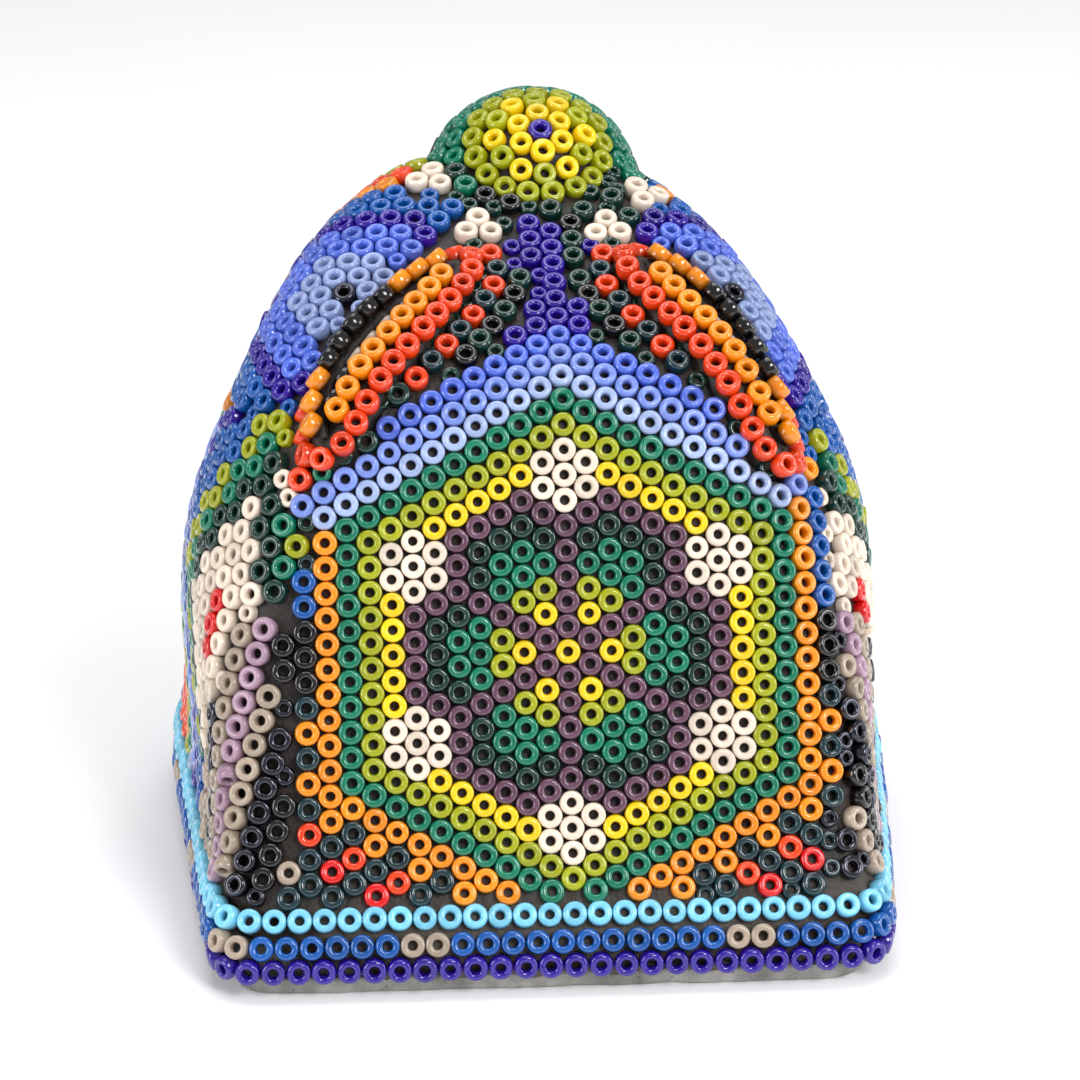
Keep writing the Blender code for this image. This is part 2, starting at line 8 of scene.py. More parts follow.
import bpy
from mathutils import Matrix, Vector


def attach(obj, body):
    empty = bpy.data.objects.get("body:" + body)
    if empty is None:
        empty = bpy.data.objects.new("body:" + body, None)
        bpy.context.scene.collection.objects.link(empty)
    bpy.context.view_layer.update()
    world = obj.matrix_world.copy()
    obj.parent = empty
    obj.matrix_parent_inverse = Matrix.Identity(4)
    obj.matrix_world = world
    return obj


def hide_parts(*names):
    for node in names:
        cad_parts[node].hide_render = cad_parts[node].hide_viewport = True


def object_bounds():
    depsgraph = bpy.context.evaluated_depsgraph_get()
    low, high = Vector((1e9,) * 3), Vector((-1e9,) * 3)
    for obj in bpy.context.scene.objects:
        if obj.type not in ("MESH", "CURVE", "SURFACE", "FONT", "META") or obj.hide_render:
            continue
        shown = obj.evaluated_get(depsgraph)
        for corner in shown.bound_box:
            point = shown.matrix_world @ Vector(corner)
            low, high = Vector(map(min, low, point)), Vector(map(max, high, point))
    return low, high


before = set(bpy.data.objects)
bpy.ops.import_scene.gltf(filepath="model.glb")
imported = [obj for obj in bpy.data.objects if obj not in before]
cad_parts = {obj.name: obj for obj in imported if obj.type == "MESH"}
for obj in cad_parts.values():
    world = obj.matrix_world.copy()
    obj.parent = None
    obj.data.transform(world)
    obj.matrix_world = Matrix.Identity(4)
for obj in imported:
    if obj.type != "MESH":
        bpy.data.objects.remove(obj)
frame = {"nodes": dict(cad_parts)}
CAD_BOX = [list(corner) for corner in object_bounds()]

import math
import random

import bmesh
import bpy
import numpy as np
from mathutils import Matrix, Vector
from mathutils.bvhtree import BVHTree
from mathutils.kdtree import KDTree

# ---- dimensions shared with the CAD source ------------------------------------------------------------

MM = 0.001
PITCH = 2.2             # spacing of 11/0 seed beads laid side by side
GAP = 0.3               # the CAD's clearance between the wax and the beads
BEAD_LENGTH = 1.45
MIDDLE = GAP + BEAD_LENGTH / 2      # level of the bead centres above the CAD's wax
CENTRE = np.array((0.0, 0.0, 28.0))
SWAY, LEAN = -2.35, -0.02   # the hand-moulded head stands off to its left, and leans
ROUNDING = 1.5          # softness of the edges between the facets
FLARE, FLARE_Z, FLARE_SPREAD = 1.8, 4.0, 4.65
FACETS = (
    (0, 22, 18.9, False),       # crown
    (57, 25.2, 29.2, True),     # corners beside the crown
    (84, -0.6, 30.2, True),     # cheeks
    (100, 24, 29.1, True),      # upper cheeks
    (128, 3, 32.7, True),       # jaws
    (180, 2, 30.5, False),      # throat
    (0, 64, 23.6, False),       # forehead
    (51, 46.6, 29.3, True),     # eyes
    (114, 46, 33.7, True),      # muzzle sides
    (180, 68, 36.8, False),     # muzzle top
    (180, 35, 34.5, False),     # chin
    (0, -90, 29.5, False),      # underside
)
NOSE_CENTRE = np.array((-0.9, 18.3, 56.6))
NOSE_RADIUS = 8.7
NOSE_BLEND = 1.2
NOSE_TILT = 54
ROSETTE_Z = 27.3
EYE_X, EYE_Y, EYE_Z = 17.4, -1.8, 53.4
CHEEK_X, CHEEK_Y, CHEEK_Z = 28.5, -14.6, 27.4
CHEEK_HALF_WIDTH, CHEEK_HALF_HEIGHT = 6.7, 12.8     # half diagonals of the ivory diamond
THROAT = (0.0, 31.0, 27.0)
EAR_CENTRE = Vector((14.75, -7.2, 50.4))
EAR_ALONG = Vector((0.562, -0.646, -0.517))
EAR_UP = Vector((0.50, -0.20, 0.84))
EAR_HALF_LENGTH, EAR_HALF_WIDTH = 11.0, 1.9
EAR_BACK_HEIGHT, EAR_FRONT_HEIGHT = 2.6, 1.5
EAR_WALL_REACH = 1.2        # how far the ear's wall goes outside its loop
EAR_RIM_LIFT = 0.75         # the rim's beads stand this far above the wall
EAR_RIM_LEAN = math.radians(62)
EAR_SLOPE = math.radians(40)        # slope of the ear's beaded outside
EAR_SPACING = PITCH * 0.97
# Middles of the ivory tufts, three beads each, beside the nose
NOSE_TUFTS = ((-6.51, 4.76, 57.67), (5.2, 4.42, 57.47), (-10.63, 11.28, 60.44), (9.07, 9.32, 59.14))
SIDES = ((-1, "left"), (1, "right"))

# ---- dimensions of the looks --------------------------------------------------------------------------

BEAD_RADIUS, HOLE_RADIUS = 1.10, 0.41
BEAD_SIDES, PROFILE_POINTS = 18, 12
NEAREST = 0.86 * PITCH      # a bead nearer than this to one already set is left out
WAX_LEVEL = 0.62            # the wax wells up between the beads to this level
FOOT_TOP = 1.6
BOX = np.array(CAD_BOX) / MM + [[0.03], [-0.03]]     # no bead stands out of the CAD's box
RIM_ROWS = ((2.75, "rim_row_lower", 0.0), (4.7, "rim_row_middle", 0.5), (6.65, "rim_row_upper", 0.0))
LOWEST_FILLER = 7.4         # no filler is set among the rows of the rim
BAND_HEAD, BAND_FOOT = (20.6, -1.2, 31.0), (28.4, -0.9, 8.5)    # half width, shift and height
CAMERA_AZIMUTH, CAMERA_ELEVATION, CAMERA_DISTANCE, CAMERA_LENS = -3.4, 22, 320.0, 122.7
RNG = random.Random(11)

COLOURS = {     # sRGB, roughness, metallic, subsurface
    "yellow": ((252, 214, 8), 0.16, 0.0, 0.05),
    "olive": ((166, 172, 8), 0.16, 0.0, 0.0),
    "teal": ((0, 122, 92), 0.14, 0.0, 0.0),
    "dark_green": ((14, 54, 46), 0.12, 0.0, 0.0),
    "petrol": ((20, 52, 60), 0.12, 0.0, 0.0),
    "purple": ((102, 66, 88), 0.16, 0.0, 0.0),
    "ivory": ((243, 226, 208), 0.22, 0.0, 0.15),
    "orange": ((250, 148, 12), 0.15, 0.0, 0.05),
    "red_orange": ((240, 66, 14), 0.15, 0.0, 0.0),
    "red": ((226, 14, 18), 0.15, 0.0, 0.0),
    "lavender": ((170, 190, 236), 0.16, 0.0, 0.08),
    "mid_blue": ((122, 146, 226), 0.16, 0.0, 0.03),
    "periwinkle": ((84, 112, 220), 0.15, 0.0, 0.0),
    "pale_blue": ((140, 158, 208), 0.18, 0.0, 0.05),
    "ultramarine": ((44, 18, 150), 0.13, 0.0, 0.0),
    "royal_blue": ((12, 88, 172), 0.14, 0.0, 0.0),
    "sky_blue": ((128, 212, 244), 0.16, 0.0, 0.05),
    "taupe": ((178, 160, 142), 0.20, 0.0, 0.05),
    "lilac": ((176, 142, 164), 0.18, 0.0, 0.0),
    "black": ((16, 15, 18), 0.10, 0.0, 0.0),
    "hematite": ((66, 66, 76), 0.16, 0.9, 0.0),
}


# ---- the head's form ----------------------------------------------------------------------------------

def facing(azimuth, elevation):
    """Unit vector; azimuth 0 looks out of the crown (-Y) and turns towards +X."""
    a, e = math.radians(azimuth), math.radians(elevation)
    return Vector((math.sin(a) * math.cos(e), -math.cos(a) * math.cos(e), math.sin(e)))


def facet_planes():
    """Normals and distances of all the facets, the paired ones on both sides."""
    normals, distances = [], []
    for azimuth, elevation, distance, paired in FACETS:
        for side in ((1, -1) if paired else (1,)):
            normal = facing(side * azimuth, elevation)
            leaning = normal - Vector((0, 0, LEAN * normal.x))
            normals.append(leaning.normalized())
            distances.append((distance + normal.x * SWAY) / leaning.length)
    return np.array(normals), np.array(distances)


NORMALS, DISTANCES = facet_planes()


def skin_distance(points):
    """Signed distance, about, from the CAD's wax surface to each point of an (N, 3) array."""
    flat = (points - CENTRE) @ NORMALS.T - DISTANCES
    highest = flat.max(axis=1)
    soft = ROUNDING * np.log(np.exp((flat - highest[:, None]) / ROUNDING).sum(axis=1))
    body = highest + soft - FLARE * np.exp(-((points[:, 2] - FLARE_Z) / FLARE_SPREAD) ** 2)
    nose = np.linalg.norm(points - NOSE_CENTRE, axis=1) - NOSE_RADIUS
    mix = np.clip(0.5 + 0.5 * (nose - body) / NOSE_BLEND, 0.0, 1.0)
    return nose * (1 - mix) + body * mix - NOSE_BLEND * mix * (1 - mix)


def slope(points):
    """Gradient of the distance at each point."""
    columns = []
    for axis in np.eye(3) * 0.05:
        columns.append((skin_distance(points + axis) - skin_distance(points - axis)) / 0.1)
    return np.stack(columns, axis=1)


def outward(points):
    """Unit normals of the skin at each point."""
    ways = slope(points)
    return ways / np.linalg.norm(ways, axis=1)[:, None]


def settle(points, level=MIDDLE, rounds=2):
    """Points moved along the normals onto a level above the skin."""
    for _ in range(rounds):
        ways = slope(points)
        short = (skin_distance(points) - level) / (ways * ways).sum(axis=1)
        points = points - ways * short[:, None]
    return points


def hit_skin(origins, directions, level, near=0.0, far=60.0, steps=40):
    """Outermost points at a level above the skin, on rays from origins along directions."""
    level = np.broadcast_to(level, (len(origins),))
    last = np.full(len(origins), near)
    spacing = (far - near) / steps
    for t in np.arange(near, far, spacing):
        inside = skin_distance(origins + directions * t) < level
        last[inside] = t
    low, high = last, last + spacing
    for _ in range(16):
        middle = (low + high) / 2
        deeper = skin_distance(origins + directions * middle[:, None]) < level
        low, high = np.where(deeper, middle, low), np.where(deeper, high, middle)
    return origins + directions * low[:, None]


class Chart:
    """Flat map of the skin round a point: a place is found by walking straight along the skin."""

    def __init__(self, start, up, ray=None):
        start = np.array(start, float)[None, :]
        if ray is not None:
            start = hit_skin(start, np.array(ray, float)[None, :], MIDDLE)
        self.origin = settle(start, rounds=4)[0]
        normal = Vector(outward(self.origin[None, :])[0])
        up = Vector(up)
        self.up = (up - normal * up.dot(normal)).normalized()
        self.right = self.up.cross(normal)

    def places(self, flat):
        """Points of the skin for an (N, 2) array of places in the map."""
        flat = np.array(flat, float)
        lengths = np.linalg.norm(flat, axis=1)
        unit = flat / np.maximum(lengths, 1e-9)[:, None]
        heading = unit[:, :1] * np.array(self.right) + unit[:, 1:] * np.array(self.up)
        points = np.repeat(self.origin[None, :], len(flat), axis=0)
        steps = max(int(lengths.max() / 0.7), 1)
        for _ in range(steps):
            points = settle(points + heading * (lengths / steps)[:, None], rounds=1)
            normal = outward(points)
            heading = heading - normal * (heading * normal).sum(axis=1)[:, None]
            heading /= np.maximum(np.linalg.norm(heading, axis=1), 1e-9)[:, None]
        return settle(points)


# ---- fields of the CAD --------------------------------------------------------------------------------

class Fields:
    """Says which CAD shell of beads a point lies in."""

    def __init__(self, nodes):
        corners, faces, self.owner = [], [], []
        for name in sorted(nodes):
            if name in ("cast_core", "wax_coat") or "_ear_" in name:
                continue
            mesh = nodes[name].data
            first = len(corners)
            corners += [v.co / MM for v in mesh.vertices]
            for polygon in mesh.polygons:
                faces.append([first + i for i in polygon.vertices])
                self.owner.append(name)
        self.tree = BVHTree.FromPolygons(corners, faces)

    def at(self, point):
        """Name of the nearest shell and how far off it is."""
        _, _, index, distance = self.tree.find_nearest(Vector(point))
        return self.owner[index], distance


class Beads:
    """All the beads set so far, with a quick search for near ones."""

    def __init__(self):
        self.places, self.axes, self.colours, self.zones = [], [], [], []
        self.sizes, self.fixed = [], []
        self.cells = {}

    @staticmethod
    def cell(point):
        return tuple(int(math.floor(x / PITCH)) for x in point)

    def crowded(self, point, distance=NEAREST):
        """Whether a bead is already nearer than distance."""
        cx, cy, cz = self.cell(point)
        for x in (cx - 1, cx, cx + 1):
            for y in (cy - 1, cy, cy + 1):
                for z in (cz - 1, cz, cz + 1):
                    for i in self.cells.get((x, y, z), ()):
                        other = self.places[i]
                        if sum((a - b) ** 2 for a, b in zip(point, other)) < distance * distance:
                            return True
        return False

    def set(self, point, axis, colour, zone, size=1.0, fixed=False):
        point = np.array(point, float)
        self.cells.setdefault(self.cell(point), []).append(len(self.places))
        self.places.append(point)
        self.axes.append(np.array(axis, float))
        self.colours.append(colour)
        self.zones.append(zone)
        self.sizes.append(size)
        self.fixed.append(fixed)


fields = Fields(frame["nodes"])
beads = Beads()


def set_chart(places, colours, wanted, fixed=False, distance=NEAREST):
    """Set beads at places of the skin where a field is wanted and nothing is in the way."""
    axes = outward(places)
    for place, axis, colour in zip(places, axes, colours):
        zone, off = fields.at(place)
        if colour is None or off > 1.9 or not any(word in zone for word in wanted):
            continue
        if not beads.crowded(place, distance):
            beads.set(place, axis, colour, zone, fixed=fixed)


# ---- patterns -----------------------------------------------------------------------------------------

SPOKES = ((0, 1), (1, 0), (1, -1), (0, -1), (-1, 0), (-1, 1))     # from the top, clockwise


def hex_lattice(rings):
    """Every place of a hexagonal lattice as (ring, sector, steps along its spoke, steps along the next)."""
    cells = []
    for i in range(-rings, rings + 1):
        for j in range(-rings, rings + 1):
            ring = max(abs(i), abs(j), abs(i + j))
            if ring > rings:
                continue
            for sector in range(6):
                (p, q), (r, s) = SPOKES[sector], SPOKES[(sector + 1) % 6]
                determinant = p * s - q * r
                a, b = (i * s - j * r) / determinant, (p * j - q * i) / determinant
                if a > 0 and b >= 0 or ring == 0:
                    cells.append((i, j, ring, sector, int(round(a)), int(round(b))))
                    break
    cells.sort(key=lambda c: (c[2], c[3], c[5]))
    return cells


def lattice_place(i, j, pitch=PITCH):
    return i * pitch * math.sqrt(3) / 2, (j + i / 2) * pitch


def flower_colour(ring, beside):
    """Colour in the crown's flower, by ring and by how far a bead is from the nearest spoke."""
    spoke = beside == 0
    if ring <= 1:
        return ("yellow", "purple")[ring]
    if ring <= 5 and spoke:
        return "purple"
    if ring == 5:
        return "dark_green" if beside == 1 else "teal"
    if ring == 6:
        return ("ivory", "purple")[beside] if beside < 2 else "dark_green"
    if ring in (7, 8) and beside < 2:
        return "ivory"
    return {2: "yellow", 3: "olive", 4: "teal", 7: "purple", 8: "yellow", 9: "olive", 10: "teal"}[ring]


def crown_colour(i, ring, sector, a, b):
    """Colour anywhere in the crown's lattice."""
    if ring <= 10:
        return flower_colour(ring, min(a, b))
    if sector in (5, 0):
        if ring <= 13:
            return {11: "lavender", 12: "mid_blue", 13: "periwinkle"}[ring]
        stripe = {14: 4, 15: 3}.get(ring, 1.8)
        if abs(i + 0.3 * (ring - 14)) <= stripe:    # the stripe drifts to the left as it climbs
            return "ultramarine"
        if ring == 14:
            return "periwinkle"
        return "dark_green" if (i + ring) % 3 else "black"
    if ring == 11:
        return "orange"
    if sector in (1, 4):
        steps = a if sector == 1 else b     # up from the lower corner
        if ring == 12 and steps < 5:
            return "orange" if steps % 2 else "petrol"
        return "black" if steps < 8 else "royal_blue"
    ray = a if sector == 3 else b
    if ray % 2:
        return {12: "orange", 13: "red_orange", 14: "red"}.get(ring, "petrol")
    return "petrol"


def set_crown(first, last):
    """Rings of the crown: the flower, its arches and rays, and then the stripe up the forehead."""
    chart = Chart((0, 0, ROSETTE_Z), (0, 0.3746, 0.9272), ray=(0, -1, 0))
    cells = [cell for cell in hex_lattice(20) if first <= cell[2] <= last]
    places = chart.places([lattice_place(c[0], c[1]) for c in cells])
    colours = [crown_colour(c[0], c[2], c[3], c[4], c[5]) for c in cells]
    wanted = ("flower_", "arch_", "crown_", "corner_rays", "forehead_")
    set_chart(places, colours, wanted, fixed=True)


def set_rim():
    """Three rows of beads round the base."""
    turns = np.linspace(0, 2 * math.pi, 1441)
    ways = np.stack([np.sin(turns), -np.cos(turns), np.zeros_like(turns)], axis=1)
    for height, zone, shift in RIM_ROWS:
        loop = hit_skin(np.array([[0, 0, height]]) + ways * 0, ways, MIDDLE, near=15.0, far=45.0)
        run = np.concatenate([[0], np.cumsum(np.linalg.norm(np.diff(loop, axis=0), axis=1))])
        count = int(run[-1] / (PITCH * 0.985))
        marks = (np.arange(count) + shift) * run[-1] / count
        places = np.stack([np.interp(marks, run, loop[:, k]) for k in range(3)], axis=1)
        axes = outward(places)
        for k, (place, axis) in enumerate(zip(places, axes)):
            colour = {"rim_row_lower": "ultramarine", "rim_row_upper": "sky_blue"}.get(zone)
            if colour is None:
                colour = "taupe" if (k + 2) % 8 < 2 else "royal_blue"
            beads.set(place, axis, colour, zone, fixed=True)


def set_nose():
    """Ivory tufts beside the nose, and rings of beads round its knob."""
    for tuft in NOSE_TUFTS:
        chart = Chart(tuft, (0, 0, 1))
        for place in chart.places([(-1.1, -0.6), (1.1, -0.6), (0.0, 1.25)]):
            if not beads.crowded(place):
                beads.set(place, outward(place[None, :])[0], "ivory", fields.at(place)[0], fixed=True)
    axis = facing(5, NOSE_TILT)
    right = Vector((0, 0, 1)).cross(axis).normalized() * -1
    ahead = axis.cross(right)
    radius = NOSE_RADIUS + MIDDLE
    step = PITCH * 0.98 / radius
    for ring in range(9):
        angle = ring * step
        around = 2 * math.pi * radius * math.sin(angle)
        count = max(int(around / (PITCH * 0.985)), 1)
        if ring == 2:
            count = 12
        for k in range(count):
            turn = 2 * math.pi * (k + 0.5 * (ring % 2)) / count
            way = axis * math.cos(angle) + (right * math.cos(turn) + ahead * math.sin(turn)) * math.sin(angle)
            place = NOSE_CENTRE + np.array(way) * radius
            if abs(skin_distance(place[None, :])[0] - MIDDLE) > 0.35:
                place = settle(place[None, :], rounds=4)[0]
                if np.linalg.norm(place - NOSE_CENTRE) > radius + 1.6:
                    continue
            colour = ("ultramarine", "yellow", ("yellow", "olive")[k % 2], "olive", "teal", "teal",
                      "dark_green", "black", "dark_green")[ring]
            set_chart(place[None, :], [colour], ("nose_", "stripe", "forehead", "jaw", "eye", "temple"),
                      fixed=True, distance=0.9 * PITCH)


CHEEK_BANDS = ((0.30, "red"), (0.98, "ivory"), (1.30, "dark_green"), (1.62, "teal"), (1.95, "olive"),
               (2.60, "royal_blue"), (2.92, "ultramarine"), (3.24, "mid_blue"), (3.56, "lavender"),
               (3.88, "teal"), (4.20, "olive"), (4.52, "orange"))


def eye_colour(ring):
    """Rings round the eye, and the bands that go on round them."""
    if ring == 0:
        return "hematite"
    if ring <= 2:
        return "pale_blue"
    if ring <= 4:
        return "periwinkle"
    bands = ("ultramarine", "royal_blue", "royal_blue", "orange", "red_orange", "olive", "teal",
             "dark_green", "lavender", "periwinkle", "ultramarine")
    return bands[min(ring - 5, len(bands) - 1)]


def cheek_colour(x, y):
    """Nested diamonds of the cheek panel, by place in millimetres."""
    reach = abs(x) / CHEEK_HALF_WIDTH + abs(y) / CHEEK_HALF_HEIGHT
    return next((colour for limit, colour in CHEEK_BANDS if reach < limit), "red_orange")


def throat_colour(ring, beside):
    """Flower under the chin."""
    colours = ("yellow", "red", "red_orange", "orange", "yellow", "yellow", "teal", "dark_green",
               "royal_blue", "periwinkle", "mid_blue", "lavender", "orange", "red_orange", "olive", "teal")
    if ring in (4, 5) and beside == 0:
        return "red_orange"
    return colours[min(ring, len(colours) - 1)]


def set_sides():
    """Eyes, cheeks and throat: the chart whose middle is nearest sets its bead first."""
    cells = hex_lattice(15)
    flat = [lattice_place(c[0], c[1]) for c in cells]
    found, charts = [], []
    for side, _ in SIDES:
        eye = Chart((side * EYE_X + SWAY / 2, EYE_Y, EYE_Z), EAR_ALONG * Vector((side, 1, 1)))
        charts.append((eye, flat, [eye_colour(c[2]) for c in cells], 9.0,
                       ("_eye_", "temple", "jaw")))
        cheek = Chart((side * CHEEK_X, CHEEK_Y, CHEEK_Z), (0, 0, 1))
        charts.append((cheek, flat, [cheek_colour(x, y) for x, y in flat], 14.0,
                       ("cheek", "temple", "jaw")))
    throat = Chart(THROAT, (0, 0, 1))
    charts.append((throat, flat, [throat_colour(c[2], min(c[4], c[5])) for c in cells], 10.0,
                   ("throat", "lips", "jaw")))
    for chart, flat, colours, weight, wanted in charts:
        places = chart.places(flat)
        for place, (x, y), colour in zip(places, flat, colours):
            found.append((math.hypot(x, y) - weight, tuple(place), colour, wanted))
    found.sort(key=lambda item: item[0])
    for _, place, colour, wanted in found:
        zone = fields.at(place)[0]
        if zone == "lips":
            colour = "red"
        set_chart(np.array([place]), [colour], wanted)


def set_bands():
    """Columns of hematite, taupe and lilac beads down the corners beside the crown."""
    columns = {-3: "taupe", -2: "black", -1: "hematite", 0: "taupe", 1: "lilac", 2: "taupe", 3: "hematite"}
    for side, _ in SIDES:
        ways = np.array([[0.0, -1.0, 0.0]])
        ends = []
        for half, shift, height in (BAND_HEAD, BAND_FOOT):
            start = np.array([[side * half + shift, 6.0, height]])
            ends.append(Vector(hit_skin(start, ways, MIDDLE, far=40.0)[0]))
        chart = Chart((ends[0] + ends[1]) / 2, ends[0] - ends[1])
        flat, colours = [], []
        for column in range(-3, 4):
            for row in range(-7, 12):
                flat.append((side * (column + 1) * PITCH * 0.9, (row + 0.5 * (column % 2)) * PITCH))
                colour = columns[column]
                if row > 4:
                    colour = "royal_blue" if column < 0 else None
                colours.append(colour)
        set_chart(chart.places(flat), colours, ("hematite", "lilac", "temple"))


# ---- ears ---------------------------------------------------------------------------------------------

def ear_frame(side):
    """Origin and axes of an ear on one side: along it, across it towards the eye, and up."""
    mirror = Vector((side, 1, 1))
    centre = EAR_CENTRE * mirror + Vector((SWAY / 6, 0, 0))
    up = (EAR_UP * mirror).normalized()
    along = EAR_ALONG * mirror
    along = (along - up * along.dot(up)).normalized()
    across = up.cross(along) * side
    return centre, along, across, up


def in_ear(point):
    """Whether a point lies inside either ear's wall."""
    for side, _ in SIDES:
        centre, along, across, up = ear_frame(side)
        way = Vector(point) - centre
        length = way.dot(along) / (EAR_HALF_LENGTH + EAR_WALL_REACH)
        width = way.dot(across) / (EAR_HALF_WIDTH + EAR_WALL_REACH)
        if way.dot(up) > -8 and math.hypot(length, width) < 1:
            return True
    return False


def ear_height(back):
    """Height of the ear's wall above the skin; the back wall is the tall one."""
    return EAR_FRONT_HEIGHT + (EAR_BACK_HEIGHT - EAR_FRONT_HEIGHT) * back ** 0.7


def ear_loop(side, count):
    """Points on the skin under the ear's loop, the ways out of it, and how far back and along each is."""
    centre, along, across, up = ear_frame(side)
    origins, ways, backs, alongs = [], [], [], []
    for k in range(count):
        turn = 2 * math.pi * k / count
        x, y = math.cos(turn), math.sin(turn)
        origins.append(centre + along * EAR_HALF_LENGTH * x + across * EAR_HALF_WIDTH * y - up * 12)
        ways.append((along * x / EAR_HALF_LENGTH + across * y / EAR_HALF_WIDTH).normalized())
        backs.append(0.5 - 0.5 * y)
        alongs.append(x)
    rays = np.repeat(np.array(up)[None, :], count, axis=0)
    base = hit_skin(np.array(origins), rays, 0.0, far=30.0)
    return base, np.array(ways), np.array(backs), np.array(alongs), np.array(up)


def ear_row(side, zone, row, colour, distance=0.8 * PITCH):
    """Row of beads round an ear, counted down from its rim; without a zone it lies on the head's skin."""
    points = 360
    base, ways, backs, alongs, up = ear_loop(side, points)
    loop = base + up * np.array([ear_height(back) + EAR_RIM_LIFT for back in backs])[:, None]
    loop = loop + (ways * math.cos(EAR_SLOPE) - up * math.sin(EAR_SLOPE)) * EAR_SPACING * row
    lean = EAR_RIM_LEAN if row == 0 else math.radians(90) - EAR_SLOPE
    axes = ways * math.cos(lean) + up * math.sin(lean)
    if not zone:
        loop = settle(loop, rounds=4)
        axes = outward(loop)
    closed = np.concatenate([loop, loop[:1]])
    run = np.concatenate([[0], np.cumsum(np.linalg.norm(np.diff(closed, axis=0), axis=1))])
    count = int(run[-1] / EAR_SPACING)
    for k in range(count):
        index = int(np.searchsorted(run, (k + 0.5) * run[-1] / count)) % points
        paint = colour(k, backs[index], alongs[index])
        if paint and not beads.crowded(loop[index], distance):
            beads.set(loop[index], axes[index], paint, zone or fields.at(loop[index])[0], fixed=True)


def rim_colour(k, back, along):
    """Orange rim, black where its front sinks between the slit and the eye."""
    return "black" if back < 0.45 and -0.45 < along < 0.5 else "orange"


def outer_colour(k, back, along):
    """Red-orange behind the rim and round both ends."""
    return "red_orange" if back > 0.4 or along > 0.6 or along < -0.6 else None


def foot_colour(k, back, along):
    """First row on the skin behind an ear."""
    return ("red_orange", "petrol")[k % 2] if back > 0.4 else None


def shade_colour(k, back, along):
    """Dark row between an ear and the arches."""
    return ("black", "dark_green")[k % 2] if back > 0.6 else None


def set_ear(side, name):
    """Rows of beads on the rim, the outside and the inside of one ear."""
    ear_row(side, name + "_ear_rim_beads", 0, rim_colour)
    ear_row(side, name + "_ear_outer_beads", 1, outer_colour)
    centre, along, across, up = ear_frame(side)
    colours = ("black", "hematite", "black", "taupe", "taupe", "taupe", "hematite", "black")
    xs = np.arange(-3.6, 4.0, 1.0) * PITCH
    origins = np.array([centre + along * x - across * 0.1 - up * 12 for x in xs])
    places = hit_skin(origins, np.repeat(np.array(up)[None, :], len(xs), axis=0), MIDDLE + 0.5, far=30.0)
    axis = (Vector(up) + Vector(across) * 0.7).normalized()
    for k, place in enumerate(places):
        if not beads.crowded(place, 0.62 * PITCH):
            beads.set(place, axis, colours[k % len(colours)], f"{name}_ear_cup", size=0.92, fixed=True)


def set_ear_foot(side):
    """Rows on the head's skin at the foot of one ear's back wall."""
    ear_row(side, "", 2, foot_colour, NEAREST)
    ear_row(side, "", 3, shade_colour, NEAREST)


# ---- gaps and settling --------------------------------------------------------------------------------

def skin_cloud(level):
    """Points of a fine globe of rays from CENTRE, at a level above the skin, and the globe's faces."""
    bm = bmesh.new()
    bmesh.ops.create_icosphere(bm, subdivisions=6, radius=1.0)
    rays = np.array([v.co.normalized() for v in bm.verts])
    faces = [[v.index for v in face.verts] for face in bm.faces]
    bm.free()
    origins = np.repeat(CENTRE[None, :], len(rays), axis=0)
    return hit_skin(origins, rays, level, near=14.0, far=46.0, steps=32), faces, rays


GAP_COLOURS = (
    ("rim", "royal_blue"), ("flower", "dark_green"), ("arch", "dark_green"), ("stripe", "ultramarine"),
    ("forehead", "dark_green"), ("corner", "petrol"), ("hematite", "hematite"), ("lilac", "taupe"),
    ("olive", "olive"), ("green", "teal"), ("ivory", "ivory"), ("pale", "pale_blue"),
    ("blue_ring", "periwinkle"), ("violet", "ultramarine"), ("temple", "royal_blue"), ("jaw", "royal_blue"),
    ("lips", "red"), ("throat", "teal"), ("nose", "dark_green"), ("orange", "orange"), ("heart", "red"),
)


def fill_gaps(cloud, distance, size, sink):
    """Set beads in the widest gaps first, until none is wider than distance."""
    tree = KDTree(len(beads.places))
    for index, place in enumerate(beads.places):
        tree.insert(place, index)
    tree.balance()
    gaps = np.array([tree.find(point)[2] for point in cloud])
    while True:
        widest = int(gaps.argmax())
        if gaps[widest] < distance:
            break
        place = cloud[widest].copy()
        gaps = np.minimum(gaps, np.linalg.norm(cloud - place, axis=1))
        if place[2] < LOWEST_FILLER or in_ear(place):
            continue
        zone = fields.at(place)[0]
        paint = next(colour for word, colour in GAP_COLOURS if word in zone)
        axis = outward(place[None, :])[0]
        beads.set(place - axis * sink, axis, paint, zone, size=size, fixed=sink > 0)


def relax(rounds):
    """Push crowded beads apart along the skin."""
    for _ in range(rounds):
        places = np.array(beads.places)
        loose = ~np.array(beads.fixed)
        tree = KDTree(len(places))
        for index, place in enumerate(places):
            tree.insert(place, index)
        tree.balance()
        moves = np.zeros_like(places)
        for index in np.flatnonzero(loose):
            for other, neighbour, distance in tree.find_range(places[index], PITCH * 0.99):
                if neighbour != index and distance > 1e-6:
                    share = 0.5 if loose[neighbour] else 0.9
                    push = (PITCH * 0.99 - distance) * share
                    moves[index] += (places[index] - np.array(other)) / distance * push * 0.6
        places[loose] = settle(places[loose] + moves[loose])
        axes = outward(places)
        for index in np.flatnonzero(loose):
            beads.places[index] = places[index]
            beads.axes[index] = axes[index]


# ---- materials ----------------------------------------------------------------------------------------

def linear(rgb, factor=1.0):
    """Linear colour of an sRGB one."""
    values = []
    for value in rgb:
        v = value / 255
        v = v / 12.92 if v <= 0.04045 else ((v + 0.055) / 1.055) ** 2.4
        values.append(min(v * factor, 1.0))
    return (*values, 1.0)


